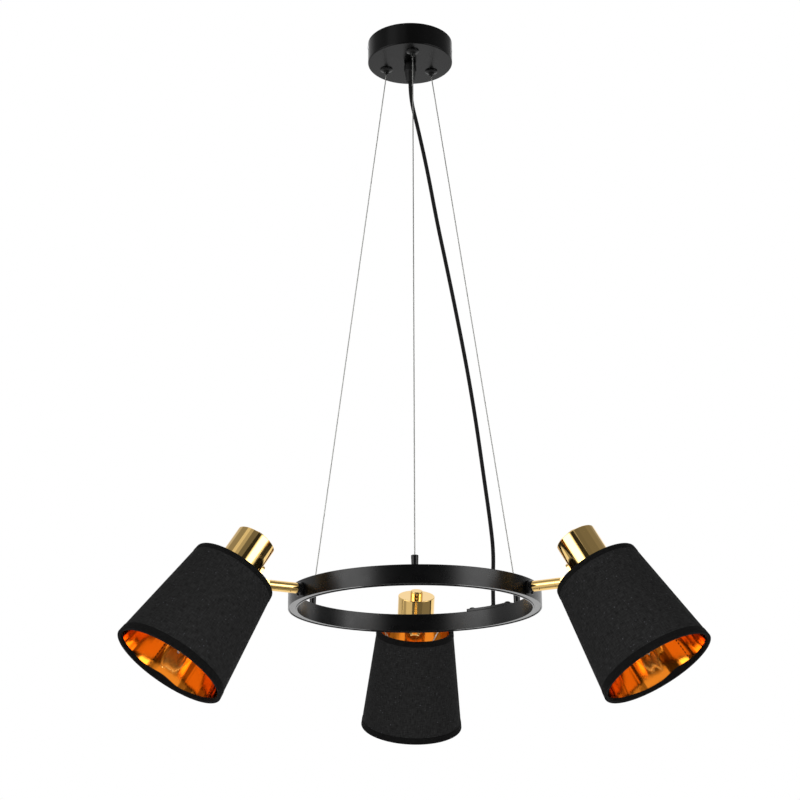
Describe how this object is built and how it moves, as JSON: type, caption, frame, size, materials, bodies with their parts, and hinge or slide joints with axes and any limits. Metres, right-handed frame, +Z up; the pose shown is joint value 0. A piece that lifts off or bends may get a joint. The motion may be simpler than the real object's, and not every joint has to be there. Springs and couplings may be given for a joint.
{
  "type": "pendant lamp",
  "caption": "Black ring pendant on steel wires with tilting drum-cone fabric shades, gold arms and copper linings.",
  "frame": {"origin": "centre of the ceiling plate's two screw holes, on the face that meets the ceiling", "axes": "+Z up into the ceiling; the lamp hangs along -Z; the front of the picture faces -Y"},
  "size_m": [0.6489, 0.5723, 0.8823],
  "materials": {
    "satin_black": "satin",
    "polished_gold": "polished",
    "black_fabric": "woven",
    "copper_lining": "metallised",
    "white_wire": "gloss",
    "clear_glass": "clear",
    "brass_cap": "satin",
    "steel_wire": "stranded",
    "zinc_steel": "zinc",
    "black_plastic": "matte",
    "white_plastic": "matte"
  },
  "bodies": {
    "root": {"ceiling_bracket": "zinc_steel", "canopy": "satin_black", "canopy_fasteners": "zinc_steel", "terminal_block": "white_plastic", "wire_grippers": "satin_black", "cord_grip": "black_plastic", "suspension_wires": "steel_wire", "power_cord": "black_plastic", "ring_channel": "satin_black", "ring_cover_strip": "satin_black", "wire_ferrules": "satin_black", "junction_cover": "satin_black", "ring_screws": "satin_black", "cord_bush": "black_plastic", "inner_wiring": "black_plastic", "collar_left": "satin_black", "collar_right": "satin_black", "collar_back": "satin_black"},
    "arm_left": {"arm_tube_left": "polished_gold", "arm_screws_left": "polished_gold", "knuckle_fork_left": "polished_gold"},
    "head_left": {"knuckle_tongue_left": "polished_gold", "cup_left": "polished_gold", "cup_screw_left": "polished_gold", "finial_nut_left": "polished_gold", "lampholder_left": "polished_gold", "shade_ring_left": "polished_gold", "shade_frame_left": "white_wire", "shade_left": "black_fabric", "shade_lining_left": "copper_lining", "bulb_cap_left": "brass_cap", "bulb_glass_left": "clear_glass"},
    "arm_right": {"arm_tube_right": "polished_gold", "arm_screws_right": "polished_gold", "knuckle_fork_right": "polished_gold"},
    "head_right": {"knuckle_tongue_right": "polished_gold", "cup_right": "polished_gold", "cup_screw_right": "polished_gold", "finial_nut_right": "polished_gold", "lampholder_right": "polished_gold", "shade_ring_right": "polished_gold", "shade_frame_right": "white_wire", "shade_right": "black_fabric", "shade_lining_right": "copper_lining", "bulb_cap_right": "brass_cap", "bulb_glass_right": "clear_glass"},
    "arm_back": {"arm_tube_back": "polished_gold", "arm_screws_back": "polished_gold", "knuckle_fork_back": "polished_gold"},
    "head_back": {"knuckle_tongue_back": "polished_gold", "cup_back": "polished_gold", "cup_screw_back": "polished_gold", "finial_nut_back": "polished_gold", "lampholder_back": "polished_gold", "shade_ring_back": "polished_gold", "shade_frame_back": "white_wire", "shade_back": "black_fabric", "shade_lining_back": "copper_lining", "bulb_cap_back": "brass_cap", "bulb_glass_back": "clear_glass"}
  },
  "joints": [
    {"name": "arm_left_swivel", "type": "hinge", "parent": "root", "child": "arm_left", "pos_m": [-0.1299, -0.075, -0.7423], "axis": [-0.866, -0.5, 0], "range_deg": [-60, 60]},
    {"name": "arm_right_swivel", "type": "hinge", "parent": "root", "child": "arm_right", "pos_m": [0.1299, -0.075, -0.7423], "axis": [0.866, -0.5, 0], "range_deg": [-60, 60]},
    {"name": "arm_back_swivel", "type": "hinge", "parent": "root", "child": "arm_back", "pos_m": [0, 0.15, -0.7423], "axis": [0, 1, 0], "range_deg": [-60, 60]},
    {"name": "head_left_tilt", "type": "hinge", "parent": "arm_left", "child": "head_left", "pos_m": [-0.17147, -0.099, -0.7423], "axis": [-0.4994, 0.8649, 0.0506], "range_deg": [-33.1, 40]},
    {"name": "head_right_tilt", "type": "hinge", "parent": "arm_right", "child": "head_right", "pos_m": [0.17147, -0.099, -0.7423], "axis": [-0.4997, -0.8655, -0.0349], "range_deg": [-30, 40]},
    {"name": "head_back_tilt", "type": "hinge", "parent": "arm_back", "child": "head_back", "pos_m": [0, 0.198, -0.7423], "axis": [0.9986, 0, -0.0523], "range_deg": [-29.3, 40]}
  ]
}
